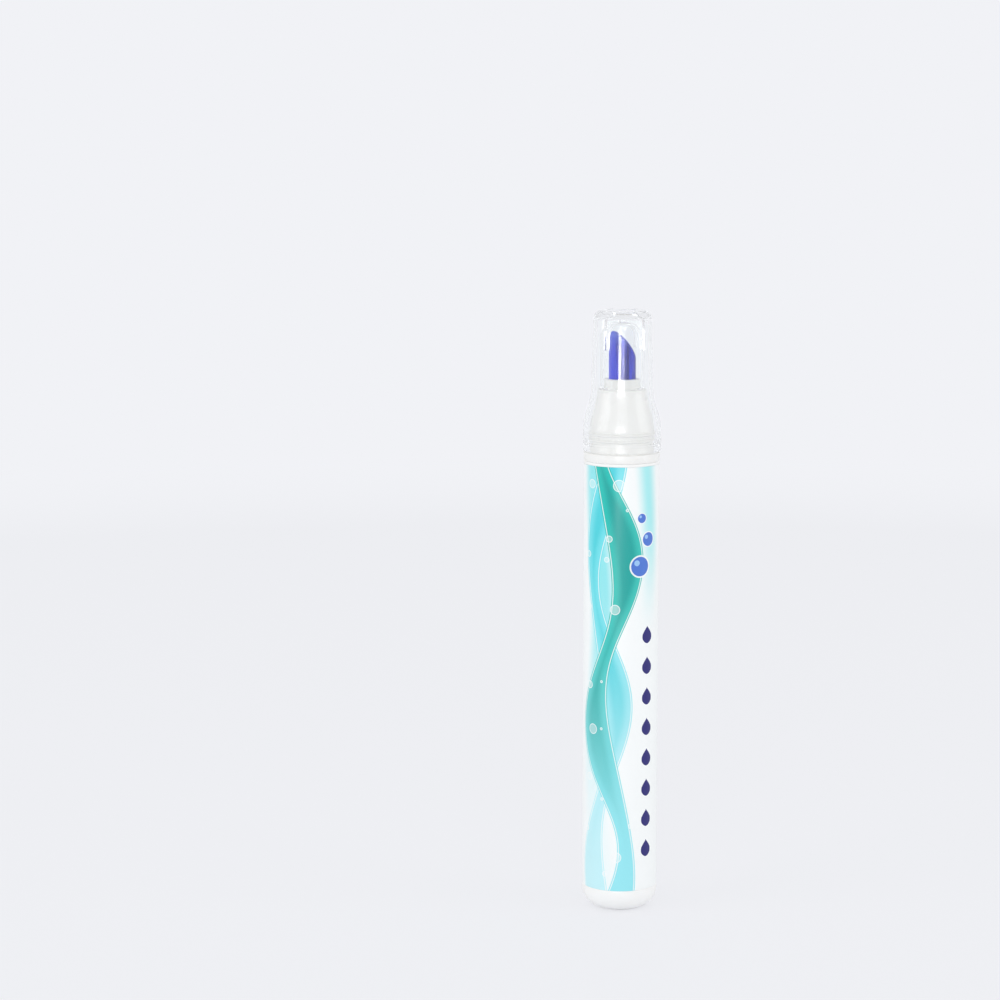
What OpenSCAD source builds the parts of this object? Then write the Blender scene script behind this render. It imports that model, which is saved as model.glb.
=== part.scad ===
// Valve-action stain remover pen, standing on its foot with the cap on.
// Origin at the centre of the foot, +Z up the pen towards the nib, millimetres.

/* [Barrel] */
// Outside diameter of the barrel
barrel_d = 17; // [15:0.5:20]
// Height of the barrel from its foot to its mouth
barrel_len = 102.6; // [88:0.2:124]
// Wall of the barrel
barrel_wall = 1.2; // [1:0.1:1.5]
// Thickness of the closed end
base_wall = 1.8; // [1.2:0.1:2.6]
// Rounded corner at the foot
foot_round = 4.5; // [3.5:0.5:5]
// Diameter of the shallow gate recess under the foot
gate_d = 2.4; // [1.6:0.2:3]

/* [Label] */
// Thickness of the printed film
label_t = 0.1; // [0.06:0.02:0.2]
// Height of the label's lower edge above the foot
label_low = 5.4; // [5.2:0.2:14]
// Bare barrel between the label and the mouth
label_margin = 0.7; // [0.5:0.1:6]
// Gap between the label's two ends, at the back
label_seam = 0.6; // [0.4:0.1:2]

/* [Collar] */
// Length of the collar's plug inside the barrel
plug_len = 9; // [8:0.5:13]
// Wall of the collar's outer shell
collar_wall = 1.1; // [0.9:0.1:1.1]
// Thickness of the flange that sits on the barrel's mouth
flange_t = 1.9; // [0.8:0.1:2.6]
// Straight neck above the flange, which the cap's skirt covers
neck_len = 5; // [5:0.1:9]
// Curved nose between the neck and the shoulder
nose_len = 9.1; // [7.5:0.1:12]
// Nozzle that stands above the shoulder
nozzle_len = 2.3; // [1.6:0.1:4]
// Wall of the nozzle
nozzle_wall = 1.04; // [0.8:0.02:1.2]
// Width of the flat shoulder round the nozzle
shoulder_w = 1.4; // [1.2:0.1:1.5]
// Height of the two snap beads on the neck
bead_h = 0.45; // [0.3:0.05:0.5]
// Height of the lower snap bead above the flange
bead_low = 2.8; // [2.2:0.1:2.9]
// Distance between the two snap beads
bead_pitch = 1.4; // [1.2:0.1:1.7]

/* [Nib] */
// Diameter of the fibre nib
nib_d = 6; // [5.2:0.2:6.6]
// Length of nib that shows above the nozzle
nib_reach = 10.7; // [8:0.1:14]
// How far the nib's point lies off its axis
nib_point_x = 1.8; // [1.2:0.1:2]
// Slope of the slanted face where it starts, at the point, in degrees
nib_slant = 27; // [18:1:30]
// Radius of the slanted face's crown
nib_crown = 10.5; // [10.5:0.5:20]
// Rounded edge round the nib's end, behind the point
nib_round = 1.3; // [0.8:0.1:2]
// How far the nib can be pushed in, which opens the valve
nib_travel = 2; // [1:0.1:2.4]
// Width of the step inside the collar that stops the nib
stop_w = 0.5; // [0.3:0.1:0.7]
// Length of the bore that guides the nib
guide_len = 6; // [4:0.5:7]

/* [Nib holder] */
// Length of the holder
holder_len = 7.5; // [5.5:0.1:9]
// Wall of the holder's sleeve
holder_wall = 0.5; // [0.4:0.05:0.6]
// Thickness of the holder's floor
holder_floor = 1.2; // [1:0.1:1.8]
// Number of slots down the sleeve
holder_slots = 3; // [2:1:4]

/* [Valve] */
// Thickness of the rubber seat
seat_t = 1.2; // [0.8:0.1:1.8]
// Hole through the seat
seat_hole_d = 3.4; // [3:0.1:3.8]
// Diameter of the plunger's stem
stem_d = 2.2; // [1.6:0.1:2.4]
// Diameter of the plunger's head
head_d = 5.2; // [4.8:0.1:5.8]
// Thickness of the plunger's head
head_t = 1.1; // [0.8:0.1:1.6]
// Thickness of the soft washer on the head
seal_t = 0.8; // [0.6:0.1:1.2]
// Diameter of the plunger's tail, inside the spring
tail_d = 2; // [1.4:0.1:2.2]
// Length of cage gripped by the collar
cage_grip = 4.6; // [4:0.1:6]
// Length of the valve cage
cage_len = 11; // [10:0.5:14]
// Wall of the valve cage
cage_wall = 0.7; // [0.5:0.05:0.8]
// Thickness of the cage's floor
cage_floor = 1; // [0.8:0.1:1.6]
// Number of inlet windows round the cage
cage_windows = 4; // [3:1:5]
// Width of an inlet window
window_w = 2.4; // [1.6:0.2:2.8]
// Wire of the return spring
wire_d = 0.4; // [0.3:0.05:0.5]
// Mean diameter of the spring's coils
coil_d = 3.6; // [3.3:0.1:4]
// Number of turns in the spring
coil_turns = 7; // [5:1:8]

/* [Cap] */
// Wall of the clear cap
cap_wall = 1; // [0.8:0.05:1.2]
// Thickness of the cap's top
cap_top_wall = 1.6; // [1.2:0.1:2.4]
// Rounded edge round the cap's top
cap_round = 1.8; // [1:0.1:2]
// How far the skirt stands proud of the barrel
skirt_proud = 0.3; // [0:0.05:0.6]
// Draft of the cap's upper part, in degrees
cap_draft = 1.6; // [1:0.1:2.2]
// Radial depth of the ribs that grip the liner
rib_h = 0.6; // [0.5:0.05:0.9]
// Thickness of a rib
rib_t = 0.8; // [0.6:0.1:1.2]
// Number of ribs inside the cap
rib_count = 4; // [3:1:8]
// Length of the ribs, down from the cap's ceiling
rib_len = 7; // [5:0.5:12]
// Wall of the inner sealing cup
liner_wall = 0.7; // [0.5:0.05:0.8]
// Rounded corner inside the liner's closed end
liner_round = 3; // [2:0.1:3.4]
// Space between the nib's point and the liner's closed end
tip_gap = 1.3; // [0.8:0.1:2]
// Space between the liner and the cap's top
head_gap = 0.9; // [0.6:0.1:2.5]

/* [Hidden] */
$fn = 96;
corner_steps = 8;
curve_steps = 14;
eps = 0.01;

// Clearances between pieces
glue_gap = 0.02;
plug_gap = 0.1;
rib_gap = 0.02;
nib_gap = 0.06;
slide_gap = 0.1;
push_gap = 0.05;
holder_play = 0.3;
cage_gap = 0.03;
cap_gap = 0.2;
snap_gap = 0.05;
seat_gap = 0.3;
liner_gap = 0.1;

// Small edge breaks, beads and grooves
edge = 0.3;
gate_depth = 0.3;
bead_w = 0.8;
seal_rib_w = 0.9;
seal_rib_pitch = 2.6;
cage_bead_h = 0.12;
cage_bead_w = 0.8;
dimple_depth = 0.4;
drip_hole_d = 1;

// Radii, from the outside in and from the nib out
barrel_r = barrel_d / 2;
bore_r = barrel_r - barrel_wall;
panel_r = barrel_r - label_t;
plug_r = bore_r - plug_gap;
skirt_r = barrel_r + skirt_proud;
neck_r = skirt_r - cap_wall - cap_gap - bead_h;
nib_r = nib_d / 2;
guide_r = nib_r + nib_gap;
nozzle_r = guide_r + nozzle_wall;
nose_r = nozzle_r + shoulder_w;
holder_r = nib_r + holder_wall;
chamber_r = holder_r + slide_gap;
feed_r = chamber_r - stop_w;
tube_wall = 0.9;
ledge_w = 0.4;
cage_r = chamber_r + ledge_w;
socket_r = cage_r + cage_gap;
liner_in_r = nozzle_r + liner_gap;
liner_r = liner_in_r + liner_wall;
head_r = liner_r + rib_h + cap_wall;
shell_in_r = min(neck_r, plug_r) - collar_wall;

// Heights, from the foot up
label_top = barrel_len - label_margin;
plug_low = barrel_len - plug_len;
flange_top = barrel_len + flange_t;
neck_top = flange_top + neck_len;
shoulder_z = neck_top + nose_len;
nozzle_top = shoulder_z + nozzle_len;
apex_z = nozzle_top + nib_reach;
seat_low = plug_low + cage_grip;
ledge_z = seat_low + seat_t;
chamber_top = nozzle_top - guide_len;
holder_top = chamber_top - holder_play;
holder_low = holder_top - holder_len;
nib_low = holder_low + holder_floor;
stop_z = holder_low - nib_travel - push_gap;
stem_top = holder_low + dimple_depth - push_gap;
seal_top = seat_low - push_gap;
seal_low = seal_top - seal_t;
head_low = seal_low - head_t;
cage_low = seat_low - cage_len;
floor_top = cage_low + cage_floor;
core_top = neck_top + 3.2;

// Heights of the cap and its liner
cap_low = flange_top + seat_gap;
liner_low = shoulder_z + push_gap;
liner_top = apex_z + tip_gap + liner_wall;
cap_top = liner_top + head_gap + cap_top_wall;
flare_top = shoulder_z - 0.4;
flare_r = head_r + (cap_top - flare_top) * tan(cap_draft);

// Points of an arc from angle a to angle b
function arc(centre, r, a, b, steps = corner_steps) =
    [for (i = [0:steps]) let (t = a + (b - a) * i / steps)
        centre + r * [cos(t), sin(t)]];

// An S-shaped change of radius between two heights, level at both ends
function ogee(r0, z0, r1, z1, steps = curve_steps) =
    [for (i = [0:steps]) let (t = i / steps, s = t * t * (3 - 2 * t))
        [r0 + (r1 - r0) * s, z0 + (z1 - z0) * t]];

// A half-round bead or groove of height h on a wall of radius r, going up
function bead(r, z, w, h) =
    [for (i = [0:6]) let (t = i / 6) [r + h * sin(180 * t), z + w * (t - 0.5)]];

function reversed(p) = [for (i = [len(p) - 1:-1:0]) p[i]];

module lathe(points) rotate_extrude() polygon(points);

// Outside of the liner's closed end, from its wall to its axis, grown by gap
function liner_end(gap) =
    let (r = liner_round + liner_wall)
    arc([liner_r - r, liner_top - r], r + gap, 0, 90, curve_steps);

// A bar that points along +X from the axis, for slots, windows and ribs
module radial_bar(r0, r1, width, z0, z1)
    translate([r0, -width / 2, z0]) cube([r1 - r0, width, z1 - z0]);

module round_array(count, start = 0)
    for (i = [0:count - 1]) rotate([0, 0, start + i * 360 / count]) children();

// Barrel: a closed tube with a rounded foot and a shallow panel for the label
module barrel() {
    inner_round = foot_round - barrel_wall;
    color("white")
    lathe(concat(
        [[0, gate_depth], [gate_d / 2, gate_depth], [gate_d / 2, 0]],
        arc([barrel_r - foot_round, foot_round], foot_round, -90, 0),
        [[barrel_r, label_low - glue_gap], [panel_r - glue_gap, label_low - glue_gap],
         [panel_r - glue_gap, label_top + glue_gap], [barrel_r, label_top + glue_gap],
         [barrel_r, barrel_len - edge], [barrel_r - edge, barrel_len],
         [bore_r + edge, barrel_len], [bore_r, barrel_len - edge]],
        arc([bore_r - inner_round, base_wall + inner_round], inner_round, 0, -90),
        [[0, base_wall]]));
}

// Label: a printed film wrapped round the panel, its two ends apart at the back
module label() {
    color("mediumturquoise")
    difference() {
        lathe([[panel_r, label_low], [barrel_r, label_low],
               [barrel_r, label_top], [panel_r, label_top]]);
        rotate([0, 0, 90])
            radial_bar(panel_r - 1, barrel_r + 1, label_seam, label_low - 1, label_top + 1);
    }
}

// Collar: plug, flange, snap neck, nose and nozzle round one stepped bore
module collar() {
    seal_rib_h = plug_gap - rib_gap;
    rib_z = plug_low + 2;
    nose_inner = [for (p = ogee(neck_r, neck_top, nose_r, shoulder_z - edge))
        if (p[1] < core_top) [p[0] - (neck_r - shell_in_r), p[1]]];
    tube_r = chamber_r + tube_wall;
    socket_out_r = socket_r + tube_wall;
    color("white")
    lathe(concat(
        [[shell_in_r, plug_low], [plug_r - edge, plug_low], [plug_r, plug_low + edge]],
        bead(plug_r, rib_z, seal_rib_w, seal_rib_h),
        bead(plug_r, rib_z + seal_rib_pitch, seal_rib_w, seal_rib_h),
        [[plug_r, barrel_len], [barrel_r - edge / 2, barrel_len],
         [barrel_r, barrel_len + edge / 2], [barrel_r, flange_top - edge / 2],
         [barrel_r - edge / 2, flange_top], [neck_r, flange_top]],
        bead(neck_r, flange_top + bead_low, bead_w, bead_h),
        bead(neck_r, flange_top + bead_low + bead_pitch, bead_w, bead_h),
        ogee(neck_r, neck_top, nose_r, shoulder_z - edge),
        [[nose_r - edge, shoulder_z], [nozzle_r, shoulder_z]],
        arc([nozzle_r - edge, nozzle_top - edge], edge, 0, 90, 4),
        [[guide_r + edge, nozzle_top], [guide_r, nozzle_top - edge],
         [guide_r, chamber_top], [chamber_r, chamber_top], [chamber_r, stop_z],
         [feed_r, stop_z], [feed_r, ledge_z], [socket_r, ledge_z]],
        reversed(bead(socket_r, seat_low - cage_grip / 2, cage_bead_w, cage_bead_h)),
        [[socket_r, plug_low], [socket_out_r, plug_low],
         [socket_out_r, ledge_z + tube_wall], [tube_r, ledge_z + 2 * tube_wall],
         [tube_r, core_top]],
        reversed(nose_inner)));
}

// Nib: a fibre rod with a rounded end and a crowned, slanted face, its point towards -X
module nib() {
    crown_x = -nib_point_x - nib_crown * sin(nib_slant);
    crown_z = apex_z - nib_crown * cos(nib_slant);
    heel_z = crown_z + sqrt(pow(nib_crown, 2) - pow(nib_r - crown_x, 2));
    color("slateblue")
    intersection() {
        lathe(concat(
            [[0, nib_low], [nib_r, nib_low]],
            arc([nib_r - nib_round, apex_z - nib_round], nib_round, 0, 90),
            [[0, apex_z]]));
        union() {
            translate([crown_x, 0, crown_z]) sphere(r = nib_crown);
            translate([0, 0, nib_low - 1]) cylinder(r = nib_r + 1, h = heel_z - nib_low + 1);
        }
    }
}

// Nib holder: a slotted cup that grips the nib and bears on the plunger's stem
module nib_holder() {
    color("whitesmoke")
    difference() {
        lathe([[0, holder_low], [holder_r - edge, holder_low], [holder_r, holder_low + edge],
               [holder_r, holder_top], [nib_r + glue_gap, holder_top],
               [nib_r + glue_gap, nib_low], [0, nib_low]]);
        translate([0, 0, holder_low - eps])
            cylinder(d = stem_d + 2 * slide_gap, h = dimple_depth + eps);
        round_array(holder_slots)
            radial_bar(nib_r - 0.6, holder_r + 1, 1.2, holder_low + 2.2, holder_top + 1);
        round_array(holder_slots, 180 / holder_slots)
            translate([2.2, 0, holder_low - 1]) cylinder(d = drip_hole_d, h = holder_floor + 2);
    }
}

// Valve seat: a rubber washer clamped between the collar's ledge and the cage
module valve_seat() {
    hole_r = seat_hole_d / 2;
    color("dimgray")
    lathe([[hole_r + edge, seat_low], [cage_r, seat_low], [cage_r, ledge_z],
           [hole_r, ledge_z], [hole_r, seat_low + edge]]);
}

// Valve plunger: stem, head and tail in one piece, on the pen's axis
module valve_plunger() {
    stem_r = stem_d / 2;
    tail_r = tail_d / 2;
    tail_low = floor_top - cage_floor / 2;
    color("lightsteelblue")
    lathe(concat(
        [[0, tail_low], [tail_r - edge, tail_low], [tail_r, tail_low + edge],
         [tail_r, head_low], [head_d / 2, head_low], [head_d / 2, seal_low],
         [stem_r, seal_low]],
        arc([stem_r - edge, stem_top - edge], edge, 0, 90, 4),
        [[0, stem_top]]));
}

// Plunger seal: the soft washer that closes on the seat
module plunger_seal() {
    inner_r = stem_d / 2 + glue_gap;
    outer_r = head_d / 2 - 0.1;
    color("black")
    lathe([[inner_r, seal_low], [outer_r, seal_low], [outer_r, seal_top - edge],
           [outer_r - edge, seal_top], [inner_r, seal_top]]);
}

// Return spring: one unbroken helix between the cage's floor and the plunger's head
module valve_spring() {
    sides = 8;
    per_turn = 16;
    low = floor_top + wire_d / 2 + push_gap;
    high = head_low - wire_d / 2 - push_gap;
    rings = coil_turns * per_turn;
    coil_r = coil_d / 2;
    lead = atan((high - low) / coil_turns / (PI * coil_d));
    points = [for (i = [0:rings]) let (a = 360 * i / per_turn, z = low + (high - low) * i / rings)
        for (k = [0:sides - 1]) let (b = 360 * k / sides, out = wire_d / 2 * cos(b),
                                     up = wire_d / 2 * sin(b))
            [(coil_r + out) * cos(a) + up * sin(lead) * sin(a),
             (coil_r + out) * sin(a) - up * sin(lead) * cos(a),
             z + up * cos(lead)]];
    skin = [for (i = [0:rings - 1]) for (k = [0:sides - 1])
        let (a = i * sides + k, b = i * sides + (k + 1) % sides)
            each [[a, a + sides, b + sides], [a, b + sides, b]]];
    last = rings * sides;
    low_end = [for (k = [1:sides - 2]) [0, k, k + 1]];
    high_end = [for (k = [1:sides - 2]) [last, last + k + 1, last + k]];
    centres = [for (i = [0:rings]) (points[i * sides] + points[i * sides + sides / 2]) / 2];
    turn_gap = min([for (i = [per_turn:rings]) norm(centres[i] - centres[i - per_turn])]) - wire_d;
    echo(str("least gap between the spring's turns: ", turn_gap, " mm"));
    color("silver") polyhedron(points, concat(skin, low_end, high_end), convexity = 8);
}

// Valve cage: a windowed cup that holds the spring and snaps into the collar
module valve_cage() {
    cage_in_r = cage_r - cage_wall;
    window_low = floor_top + 1;
    window_top = plug_low - 0.4;
    color("gainsboro")
    difference() {
        lathe(concat(
            [[tail_d / 2 + slide_gap, cage_low], [cage_r - edge, cage_low],
             [cage_r, cage_low + edge]],
            bead(cage_r, seat_low - cage_grip / 2, cage_bead_w, cage_bead_h),
            [[cage_r, seat_low], [cage_in_r, seat_low], [cage_in_r, floor_top],
             [tail_d / 2 + slide_gap, floor_top]]));
        round_array(cage_windows)
            radial_bar(cage_in_r - 0.5, cage_r + 1, window_w, window_low, window_top);
    }
}

// Cap shell: a clear bell, slim above and flared over the neck, ribbed inside
module cap_shell() {
    skirt_in_r = skirt_r - cap_wall;
    snap_z = flange_top + bead_low - bead_w - 0.1;
    snap_h = cap_gap - snap_gap;
    top_in = cap_top - cap_top_wall;
    inner_round = cap_round - cap_wall;
    draft_in = (cap_top_wall + inner_round) * tan(cap_draft);
    rib_low = top_in - rib_len;
    color("aliceblue", 0.5)
    difference() {
        union() {
            lathe(concat(
                [[skirt_in_r + edge, cap_low], [skirt_r - edge, cap_low],
                 [skirt_r, cap_low + edge]],
                ogee(skirt_r, neck_top, flare_r, flare_top),
                arc([head_r - cap_round, cap_top - cap_round], cap_round, cap_draft, 90),
                [[0, cap_top], [0, top_in]],
                arc([head_r - cap_wall + draft_in - inner_round, top_in - inner_round],
                    inner_round, 90, cap_draft, 4),
                reversed(ogee(skirt_in_r, neck_top, flare_r - cap_wall, flare_top)),
                reversed(bead(skirt_in_r, snap_z, bead_w, -snap_h)),
                [[skirt_in_r, cap_low + edge]]));
            round_array(rib_count, 180 / rib_count)
                radial_bar(liner_r - rib_h, head_r - cap_wall / 2, rib_t, rib_low, top_in + eps);
            translate([0, 0, liner_top - 0.5]) cylinder(r = 1.2, h = top_in - liner_top + 0.5 + eps);
        }
        lathe(concat([[0, liner_low], [liner_r + glue_gap, liner_low]], liner_end(glue_gap),
                     [[0, liner_top + glue_gap]]));
    }
}

// Cap liner: the inner cup that seals round the nozzle and keeps the nib wet
module cap_liner() {
    color("lightcyan", 0.6)
    lathe(concat(
        [[liner_in_r + edge, liner_low], [liner_r, liner_low]],
        liner_end(0), [[0, liner_top], [0, liner_top - liner_wall]],
        arc([liner_in_r - liner_round, liner_top - liner_wall - liner_round], liner_round,
            90, 0, curve_steps),
        [[liner_in_r, liner_low + edge]]));
}

barrel();
label();
collar();
nib();
nib_holder();
valve_seat();
valve_plunger();
plunger_seal();
valve_spring();
valve_cage();
cap_shell();
cap_liner();
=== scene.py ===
import math
import random

import bpy
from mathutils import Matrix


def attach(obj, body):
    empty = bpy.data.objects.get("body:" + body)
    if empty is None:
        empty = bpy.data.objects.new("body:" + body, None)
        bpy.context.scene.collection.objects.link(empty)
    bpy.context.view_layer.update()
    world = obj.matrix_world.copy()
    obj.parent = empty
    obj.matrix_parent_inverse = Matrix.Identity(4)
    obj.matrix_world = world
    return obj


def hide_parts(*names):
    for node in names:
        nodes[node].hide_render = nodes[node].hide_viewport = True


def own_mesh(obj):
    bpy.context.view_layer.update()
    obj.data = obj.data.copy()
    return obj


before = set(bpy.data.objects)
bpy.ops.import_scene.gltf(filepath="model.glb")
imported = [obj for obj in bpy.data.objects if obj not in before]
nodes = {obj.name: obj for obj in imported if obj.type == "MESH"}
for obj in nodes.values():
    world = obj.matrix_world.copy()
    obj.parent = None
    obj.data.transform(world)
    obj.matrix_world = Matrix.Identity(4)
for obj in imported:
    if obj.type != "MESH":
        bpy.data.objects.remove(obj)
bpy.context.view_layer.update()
bpy.ops.object.select_all(action="DESELECT")
mm = 0.001
weld = 0.004 * mm  # points nearer than this become one
poleRadius = 0.0008  # in mm, well inside the weld, so that a profile's end on the axis closes
print("frame loaded:", ", ".join(sorted(nodes)))


# small tools that every piece uses

def linearColour(code):  # hex as picked on screen, turned linear for the shaders
    channels = [int(code[i:i + 2], 16) / 255 for i in (1, 3, 5)]
    linear = [c / 12.92 if c <= 0.04045 else ((c + 0.055) / 1.055) ** 2.4 for c in channels]
    return (*linear, 1.0)


def addNode(tree, kind, inputs=None, **settings):  # an input is a number, a colour, a node or a socket
    node = tree.nodes.new(kind)
    for key, value in settings.items():
        setattr(node, key, value)
    items = inputs.items() if isinstance(inputs, dict) else enumerate(inputs or [])
    for key, value in items:
        if isinstance(value, bpy.types.Node):
            value = value.outputs[0]
        if isinstance(value, bpy.types.NodeSocket):
            tree.links.new(value, node.inputs[key])
        else:
            node.inputs[key].default_value = value
    return node


def newMaterial(name, **surface):  # a Principled shader with its constants set on its own sockets
    material = bpy.data.materials.new(name)
    material.use_nodes = True
    tree = material.node_tree
    shader = tree.nodes["Principled BSDF"]
    for key, value in surface.items():
        shader.inputs[key.replace("_", " ")].default_value = value
    coords = addNode(tree, "ShaderNodeTexCoord").outputs["Object"]
    return material, tree, shader, coords


def dress(piece, material):
    piece.data.materials.clear()
    piece.data.materials.append(material)


def arcPoints(centreR, centreZ, radius, start, end, steps):
    turns = [math.radians(start + (end - start) * i / steps) for i in range(steps + 1)]
    return [(centreR + radius * math.cos(a), centreZ + radius * math.sin(a)) for a in turns]


def easePoints(r0, z0, r1, z1, steps):  # an S-shaped change of radius, level at both ends
    shares = [i / steps for i in range(steps + 1)]
    return [(r0 + (r1 - r0) * t * t * (3 - 2 * t), z0 + (z1 - z0) * t) for t in shares]


def beadPoints(r, z, width, height, steps=10):  # a half-round ridge, going up the wall
    shares = [i / steps for i in range(steps + 1)]
    return [(r + height * math.sin(math.pi * t), z + width * (t - 0.5)) for t in shares]


def closeMesh():  # welds the active piece's doubles and turns its faces outwards
    bpy.ops.object.mode_set(mode="EDIT")
    bpy.ops.mesh.select_all(action="SELECT")
    bpy.ops.mesh.remove_doubles(threshold=weld)
    bpy.ops.mesh.normals_make_consistent(inside=False)
    bpy.ops.object.mode_set(mode="OBJECT")


def turnOnAxis(name, profile, segments, closed=False, smoothAngle=35):
    # profile lists (radius, height) in mm, and closed joins its last point to its first
    points = [(max(r, poleRadius) * mm, z * mm) for r, z in profile]
    if closed:
        points.append(points[0])
    bpy.ops.object.select_all(action="DESELECT")
    r, z = points[0]
    bpy.ops.mesh.primitive_circle_add(vertices=segments, radius=r, location=(0, 0, z))
    piece = bpy.context.object
    piece.name = piece.data.name = name
    bpy.ops.object.mode_set(mode="EDIT")
    bpy.ops.mesh.select_all(action="SELECT")
    for nextR, nextZ in points[1:]:
        bpy.ops.mesh.extrude_region_move(TRANSFORM_OT_translate={"value": (0, 0, nextZ - z)})
        bpy.ops.transform.resize(value=(nextR / r, nextR / r, 1), center_override=(0, 0, nextZ))
        r, z = nextR, nextZ
    closeMesh()
    bpy.ops.object.transform_apply(location=True, rotation=True, scale=True)
    bpy.ops.object.shade_smooth_by_angle(angle=math.radians(smoothAngle))
    return piece


def addBar(place, size, turn=0.0):  # a plain block in mm, to cut or join with
    bpy.ops.mesh.primitive_cube_add(size=1, location=[c * mm for c in place], rotation=(0, 0, turn))
    bar = bpy.context.object
    bar.scale = [c * mm for c in size]
    bpy.ops.object.transform_apply(location=True, rotation=True, scale=True)
    return bar


def combine(piece, tool, operation):
    bpy.ops.object.select_all(action="DESELECT")
    bpy.context.view_layer.objects.active = piece
    piece.select_set(True)
    cut = piece.modifiers.new(operation.lower(), "BOOLEAN")
    cut.operation = operation
    cut.solver = "EXACT"
    cut.object = tool
    bpy.ops.object.modifier_apply(modifier=cut.name)
    bpy.data.objects.remove(tool)
    return piece


def finishPiece(piece, body, slot, *replaced):
    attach(piece, body)
    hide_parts(*replaced)
    print("made", piece.name, len(piece.data.polygons), "faces")


# barrel: a moulded tube with a rounded foot and a shallow panel for the label

barrel = {
    "radius": 8.5, "wall": 1.2, "baseWall": 1.8, "footRound": 4.5, "top": 102.6, "edge": 0.3,
    # the gate mark in the middle of the foot: a dimple with a fine ring in it
    "gateRadius": 1.2, "gateDepth": 0.3, "gateEdge": 0.1, "ringRadii": (0.35, 0.4, 0.5, 0.55),
    "ringHeight": 0.08,
    "partingZ": 4.75, "partingWidth": 0.16, "partingDepth": 0.04,
    "panelDepth": 0.12, "panelLow": 5.38, "panelTop": 101.92, "panelBreak": (0.03, 0.06),
    "footSteps": 28, "edgeSteps": 6, "boreSteps": 12, "segments": 160,
}


def makeBarrel(b):
    bore = b["radius"] - b["wall"]
    panel = b["radius"] - b["panelDepth"]
    inner = b["footRound"] - b["wall"]
    dimple, ring = b["gateDepth"], b["gateDepth"] - b["ringHeight"]
    breakR, breakZ = b["radius"] - b["panelBreak"][0], b["panelBreak"][1]
    profile = [(0, dimple)] + list(zip(b["ringRadii"], (dimple, ring, ring, dimple)))
    profile += [(b["gateRadius"] - b["gateEdge"], dimple), (b["gateRadius"], b["gateEdge"])]
    profile += [(b["gateRadius"] + b["gateEdge"], 0)]
    profile += arcPoints(b["radius"] - b["footRound"], b["footRound"], b["footRound"], -90, 0,
                         b["footSteps"])
    profile += beadPoints(b["radius"], b["partingZ"], b["partingWidth"], -b["partingDepth"], 4)
    profile += [(b["radius"], b["panelLow"] - breakZ), (breakR, b["panelLow"])]
    profile += [(panel, b["panelLow"]), (panel, b["panelTop"])]
    profile += [(breakR, b["panelTop"]), (b["radius"], b["panelTop"] + breakZ)]
    profile += arcPoints(b["radius"] - b["edge"], b["top"] - b["edge"], b["edge"], 0, 90, b["edgeSteps"])
    profile += arcPoints(bore + b["edge"], b["top"] - b["edge"], b["edge"], 90, 180, b["edgeSteps"])
    profile += arcPoints(bore - inner, b["baseWall"] + inner, inner, 0, -90, b["boreSteps"])
    profile += [(0, b["baseWall"])]
    return turnOnAxis("barrelTube", profile, b["segments"])


barrelTube = makeBarrel(barrel)
finishPiece(barrelTube, "barrel", "barrel_plastic", "barrel")


# label: a printed film, flush in its panel, its two ends apart at the back

label = {
    "radius": 8.5, "thickness": 0.1, "low": 5.4, "top": 101.9, "seam": 0.6, "segments": 192,
    "rows": 48, "edge": 0.03, "seamCut": 2,
}


def makeLabel(b):
    inner = b["radius"] - b["thickness"]
    rise = b["top"] - b["low"]
    profile = [(inner, b["low"] + rise * i / b["rows"]) for i in range(b["rows"] + 1)]
    profile += [(b["radius"] - b["edge"], b["top"]), (b["radius"], b["top"] - b["edge"])]
    profile += [(b["radius"], b["top"] - rise * i / b["rows"]) for i in range(1, b["rows"])]
    profile += [(b["radius"], b["low"] + b["edge"]), (b["radius"] - b["edge"], b["low"])]
    piece = turnOnAxis("labelFilm", profile, b["segments"], closed=True)
    knife = addBar((0, b["radius"], (b["low"] + b["top"]) / 2),
                   (b["seam"], b["seamCut"], rise + b["seamCut"]))
    return combine(piece, knife, "DIFFERENCE")


labelFilm = makeLabel(label)
finishPiece(labelFilm, "barrel", "label_film", "label")


# collar: flange, snap neck, nose and nozzle, with the bore that guides the nib

collar = {
    "plugLow": 93.6, "plugRadius": 7.2, "shell": 6.05, "sealRibs": (95.6, 98.2), "ribWidth": 0.9,
    "ribHeight": 0.08, "flangeRadius": 8.5, "flangeLow": 102.6, "flangeTop": 104.5,
    "flangeRounds": (0.15, 0.25), "neck": 7.15, "neckFillet": 0.2, "neckTop": 109.5,
    "beads": (107.3, 108.7), "beadWidth": 0.8, "beadHeight": 0.45, "nose": 5.5, "shoulder": 118.6,
    "shoulderRound": 0.35, "nozzle": 4.1, "nozzleFillet": 0.15, "nozzleTop": 120.9, "leadIn": 0.25,
    "guide": 3.06, "chamberTop": 114.9, "chamber": 3.6, "stop": 105.05, "feed": 3.1, "ledge": 99.4,
    "socket": 4.03, "socketWall": 0.9, "coreTop": 112.7, "tube": 4.5, "edge": 0.3,
    "noseSteps": 24, "segments": 160,
}


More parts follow.
